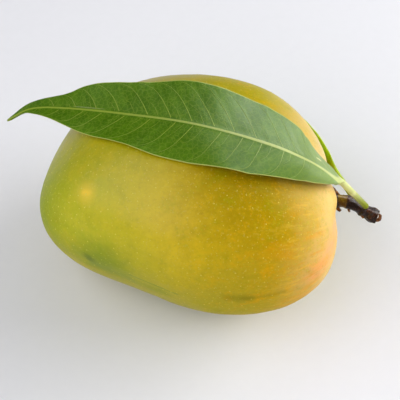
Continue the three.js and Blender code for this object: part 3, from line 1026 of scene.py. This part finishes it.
def vein_rows(tree):
    """Copies of one straight line, and what sets each of them apart."""
    line = made(tree, "GeometryNodeCurvePrimitiveLine", "Curve", Start=(0, 0, 0), End=(1, 0, 0))
    line = made(tree, "GeometryNodeResampleCurve", "Curve", Curve=line, Count=VEIN_POINTS)
    copies = add_node(tree, "GeometryNodeDuplicateElements", {"domain": "SPLINE"}, Geometry=line,
                      Amount=VEIN_ROWS * 8)
    number = Formula(copies.outputs["Duplicate Index"])
    vein = work("FLOOR", number / 2)
    first_side = work("MODULO", vein, 2)
    half_row = work("FLOOR", number / 4)
    chance = made(tree, "ShaderNodeTexWhiteNoise", "Value", {"noise_dimensions": "1D"},
                  W=vein * 1.37 + 0.5)
    row = half_row / 2 + 0.5 + (1 - first_side) * FAR_LAG + (chance - 0.5) * ROW_JITTER
    return {
        "lines": Formula(copies.outputs["Geometry"]), "face": 1 - work("MODULO", number, 2) * 2,
        "first side": first_side, "between rows": work("MODULO", half_row, 2), "chance": chance,
        "origin": held(row / VEIN_ROWS) ** VEIN_SPREAD,
    }


print("Vein lines on each leaf:", VEIN_ROWS * 8)

# %% [markdown]
# Each line then gets its course: how far out it is at each point, how far that bends it towards the
# tip, and from both its place on the blade. A thread that thins towards the margin is drawn along it,
# sunk a little into the surface.

# %% Vein tree
VEIN_TIP = 0.95
LAST_SHARE = 0.985
LEAST_RADIUS = 0.03
SUNK = 0.35


def vein_tree(name, sizes, swells, material):
    tree, size = new_tree(name, sizes)
    rows = vein_rows(tree)
    origin = rows["origin"]
    chance = rows["chance"]
    run = made(tree, "GeometryNodeSplineParameter", "Factor")
    far = between(VEIN_TIP, 0.3 + chance * 0.25, rows["between rows"])
    room = outline(origin) * size["Half width"] + 0.1
    first = work("MINIMUM", 0.8 / room, 0.5)
    out = between(first, far, 1 - (1 - run) ** 1.5)
    away = out * room
    wiggle = work("SINE", run * 8 + chance * 40) * 0.25 * run
    forward = slanted(away, origin, rows["first side"]) + run ** 4 * away * 0.25 + wiggle

    blade_length = leaf_section(tree, size, run * 0)["blade length"]
    share = (size["Petiole"] + origin * blade_length + forward) / (blade_length + size["Petiole"])
    section = leaf_section(tree, size, work("MINIMUM", share, LAST_SHARE))
    reach = out * (rows["first side"] * 2 - 1)
    sine = work("SQRT", held(1 - out)) * rows["face"]
    place, off_rib = leaf_surface(size, section, swells, reach, sine)
    thin = between(1, 0.25, rows["between rows"]) * ease(origin, 0.06, 0.22) * ease(1 - origin, 0.02, 0.25)
    radius = size["Vein radius"] * thin * (1 - run * 0.7) + LEAST_RADIUS
    place = place - section["upward"] * rows["face"] * radius * SUNK

    lines = remember(tree, rows["lines"], "leaf_place", joined(tree, section["distance"], off_rib, out))
    lines = made(tree, "GeometryNodeSetCurveRadius", "Curve", Curve=lines, Radius=radius)
    threads = tube_along(tree, moved(tree, lines, place), sides=6)
    end_tree(tree, threads, material)
    return tree


print("Vein tree ready")

# %% [markdown]
# ## Two leaves
# The front leaf lies over the fruit from the stem end to beyond the tip, and the back leaf hangs
# down behind it, so that only a sliver shows past the shoulder. Both come from the same functions
# with other sizes.

# %% Midribs
FRONT_MIDRIB = [
    (64, -2, 35.5), (57.3, -4.3, 47), (50.4, -7, 58.4), (40.1, -9.8, 70.8), (22.6, -7.5, 78.5),
    (0.2, -1, 80.1), (-22.7, 7.1, 76.4), (-46.3, 17, 69), (-59.5, 21.2, 64.2), (-69.3, 22.7, 56.2),
]
FRONT_TILT = [-5, -6, -9, 10, -10.5, -9, -20, -11.5, -13.5, -11]
BACK_MIDRIB = [
    (64.2, 3.4, 28.4), (60.7, 5.4, 31), (57.4, 7.9, 34.8), (54.5, 11.2, 37), (51.6, 18, 37.2),
    (47.1, 26.7, 36), (41.2, 35, 34.2), (31.7, 42.6, 32.4), (18, 48.6, 29.8), (0, 52, 26),
    (-20, 51.5, 22), (-40, 45, 17.5), (-56, 35, 12),
]
BACK_TILT = [30, 45, 60, 75, 85, 88, 90, 92, 94, 96, 98, 98, 95]
# side of the blade, distance along the leaf, spread, swell and droop of its margin in millimetres
FRONT_SWELLS = [
    ("first", 43, 15, -2.3, 2.6), ("first", 62, 9, 0.8, 0), ("first", 98, 7, 0.5, 0),
    ("first", 112, 8, -0.5, 0), ("first", 156, 5, -0.8, 0), ("second", 148, 7, -0.4, 0),
    ("second", 97, 9, 0.7, 0), ("second", 139, 5, -0.9, 0),
    ("second", 36, 8, 1.3, 0), ("first", 32, 8, 0.9, 0),
]
BACK_SWELLS = [("first", 24, 5, -1.2, 0), ("first", 39, 11, 2.1, 0)]
front_rib = smooth_paths("Front midrib", [[(p, a, 1) for p, a in zip(FRONT_MIDRIB, FRONT_TILT)]])
back_rib = smooth_paths("Back midrib", [[(p, a, 1) for p, a in zip(BACK_MIDRIB, BACK_TILT)]])

front_sizes = {
    "Midrib": front_rib, "Petiole": 22.8, "Half width": 15.8, "Thickness": 0.5,
    "Fold": math.radians(3.7), "Curl": 0.11, "Wave length": 42.0,
    "First wave": 2.0, "First phase": math.radians(84),
    "Second wave": 1.8, "Second phase": math.radians(-96),
    "Quilting": 0.1, "Rib shift": 1.0, "Sides": 128, "Steps": 420, "Vein radius": 0.16,
}
back_sizes = front_sizes | {
    "Midrib": back_rib, "Petiole": 15.5, "Half width": 14.5,
    "Fold": math.radians(2), "Curl": 0.3, "Wave length": 38.0,
    "First wave": 1.2, "First phase": math.radians(40),
    "Second wave": 1.5, "Second phase": math.radians(-120), "Rib shift": 0.0,
}
print("Midrib points:", len(FRONT_MIDRIB), "and", len(BACK_MIDRIB))

# %% [markdown]
# The same sizes and swells make a blade and its veins, so the veins follow the blade's surface. Each
# is a piece of its own, because their materials differ.

# %% Leaves and veins
def leaf_and_veins(name, sizes, swells, green, vein):
    """A blade, and its veins named after it."""
    blade = grow(name, leaf_tree(name, sizes, swells, green), sizes)
    veins = grow(name + "_veins", vein_tree(name + "_veins", sizes, swells, vein), sizes)
    return blade, veins


front_leaf, front_veins = leaf_and_veins("front_leaf", front_sizes, FRONT_SWELLS, front_green, front_vein)
back_leaf, back_veins = leaf_and_veins("back_leaf", back_sizes, BACK_SWELLS, back_green, back_vein)
for piece in (front_leaf, front_veins, back_leaf, back_veins):
    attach(piece, "root")
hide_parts("leaf_front")
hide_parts("leaf_back")

# %% [markdown]
# ## Last step
# The paths were only there to be followed, so they go.

# %% Remove the paths
for holder in (stem_curve, growth_curves, front_rib, back_rib):
    bpy.data.objects.remove(holder)
